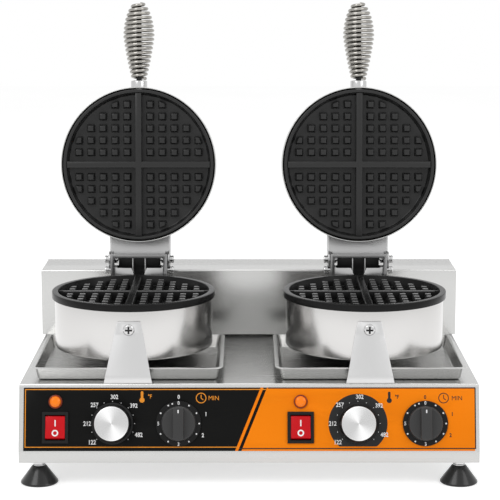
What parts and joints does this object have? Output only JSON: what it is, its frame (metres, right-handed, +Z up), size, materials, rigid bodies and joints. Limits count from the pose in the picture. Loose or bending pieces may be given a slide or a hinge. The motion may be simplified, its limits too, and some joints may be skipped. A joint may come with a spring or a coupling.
{
  "type": "double round waffle maker",
  "caption": "Counter-top double round waffle maker in brushed steel: hinged lids with coiled handles over gridded plates, drip trays, and a leaning control front.",
  "frame": {"origin": "on the surface it stands on, at the middle of its footprint", "axes": "+X to the right of someone using it, +Y to the back, +Z up"},
  "size_m": [0.544, 0.3782, 0.5542],
  "materials": {
    "brushed_steel": "brushed stainless sheet",
    "hinge_steel": "plain folded stainless sheet",
    "screw_steel": "bright plated steel",
    "chrome_wire": "polished steel wire",
    "spun_aluminium": "spun, turned face",
    "coated_iron": "black non-stick coating, half gloss",
    "heater_steel": "heat-darkened tube",
    "insulation": "mineral fibre blanket",
    "panel_film": "printed black and orange film on steel",
    "black_plastic": "black moulded plastic",
    "bakelite": "phenolic moulding",
    "white_plastic": "ceramic-filled moulding",
    "red_plastic": "red gloss moulding with white marks",
    "amber_lens": "lit amber lens",
    "rubber": "black rubber"
  },
  "bodies": {
    "base_unit": {"base_housing": "brushed_steel", "base_bottom_plate": "brushed_steel", "control_panel": "panel_film", "rear_housing": "brushed_steel", "rear_cover": "brushed_steel", "rear_cover_screws": "screw_steel", "cable_glands": "black_plastic", "terminal_block": "white_plastic", "rubber_feet": "rubber", "foot_studs": "screw_steel", "pan_mounts": "screw_steel", "support_screws": "screw_steel", "left_lower_housing": "brushed_steel", "left_lower_plate": "coated_iron", "left_lower_heater": "heater_steel", "left_lower_insulation": "insulation", "left_front_support": "brushed_steel", "left_hinge_bracket": "hinge_steel", "left_cable_guide": "hinge_steel", "left_hinge_bolts": "screw_steel", "left_thermostat_body": "bakelite", "left_timer_body": "bakelite", "left_switch_body": "black_plastic", "left_pilot_lamp": "amber_lens", "right_lower_housing": "brushed_steel", "right_lower_plate": "coated_iron", "right_lower_heater": "heater_steel", "right_lower_insulation": "insulation", "right_front_support": "brushed_steel", "right_hinge_bracket": "hinge_steel", "right_cable_guide": "hinge_steel", "right_hinge_bolts": "screw_steel", "right_thermostat_body": "bakelite", "right_timer_body": "bakelite", "right_switch_body": "black_plastic", "right_pilot_lamp": "amber_lens"},
    "left_lid": {"left_upper_housing": "brushed_steel", "left_upper_plate": "coated_iron", "left_upper_heater": "heater_steel", "left_upper_insulation": "insulation", "left_hinge_arm": "brushed_steel", "left_handle_rod": "screw_steel", "left_handle_coil": "chrome_wire"},
    "left_tray": {"left_drip_tray": "brushed_steel"},
    "left_thermostat_dial": {"left_thermostat_knob": "black_plastic", "left_thermostat_cap": "spun_aluminium"},
    "left_timer_dial": {"left_timer_knob": "black_plastic"},
    "left_switch_rocker": {"left_rocker": "red_plastic"},
    "right_lid": {"right_upper_housing": "brushed_steel", "right_upper_plate": "coated_iron", "right_upper_heater": "heater_steel", "right_upper_insulation": "insulation", "right_hinge_arm": "brushed_steel", "right_handle_rod": "screw_steel", "right_handle_coil": "chrome_wire"},
    "right_tray": {"right_drip_tray": "brushed_steel"},
    "right_thermostat_dial": {"right_thermostat_knob": "black_plastic", "right_thermostat_cap": "spun_aluminium"},
    "right_timer_dial": {"right_timer_knob": "black_plastic"},
    "right_switch_rocker": {"right_rocker": "red_plastic"}
  },
  "joints": [
    {"name": "left_lid_hinge", "type": "hinge", "parent": "base_unit", "child": "left_lid", "pos_m": [-0.1425, 0.0929, 0.224], "axis": [1, 0, 0], "range_deg": [0, 96.5]},
    {"name": "left_tray_slide", "type": "slide", "parent": "base_unit", "child": "left_tray", "axis": [-1, 0, 0], "range_m": [0, 0.2]},
    {"name": "left_thermostat_turn", "type": "hinge", "parent": "base_unit", "child": "left_thermostat_dial", "pos_m": [-0.1602, -0.1662, 0.07402], "axis": [0, -0.9678, 0.2519], "range_deg": [-270, 0]},
    {"name": "left_timer_turn", "type": "hinge", "parent": "base_unit", "child": "left_timer_dial", "pos_m": [-0.0827, -0.1662, 0.07402], "axis": [0, -0.9678, 0.2519], "range_deg": [-300, 0]},
    {"name": "left_rocker_tilt", "type": "hinge", "parent": "base_unit", "child": "left_switch_rocker", "pos_m": [-0.2272, -0.16351, 0.06847], "axis": [1, 0, 0], "range_deg": [0, 9]},
    {"name": "right_lid_hinge", "type": "hinge", "parent": "base_unit", "child": "right_lid", "pos_m": [0.1425, 0.0929, 0.224], "axis": [1, 0, 0], "range_deg": [0, 96.5]},
    {"name": "right_tray_slide", "type": "slide", "parent": "base_unit", "child": "right_tray", "axis": [1, 0, 0], "range_m": [0, 0.2]},
    {"name": "right_thermostat_turn", "type": "hinge", "parent": "base_unit", "child": "right_thermostat_dial", "pos_m": [0.1275, -0.1662, 0.07402], "axis": [0, -0.9678, 0.2519], "range_deg": [-270, 0]},
    {"name": "right_timer_turn", "type": "hinge", "parent": "base_unit", "child": "right_timer_dial", "pos_m": [0.2064, -0.1662, 0.07402], "axis": [0, -0.9678, 0.2519], "range_deg": [-300, 0]},
    {"name": "right_rocker_tilt", "type": "hinge", "parent": "base_unit", "child": "right_switch_rocker", "pos_m": [0.0604, -0.16351, 0.06847], "axis": [1, 0, 0], "range_deg": [0, 9]}
  ]
}
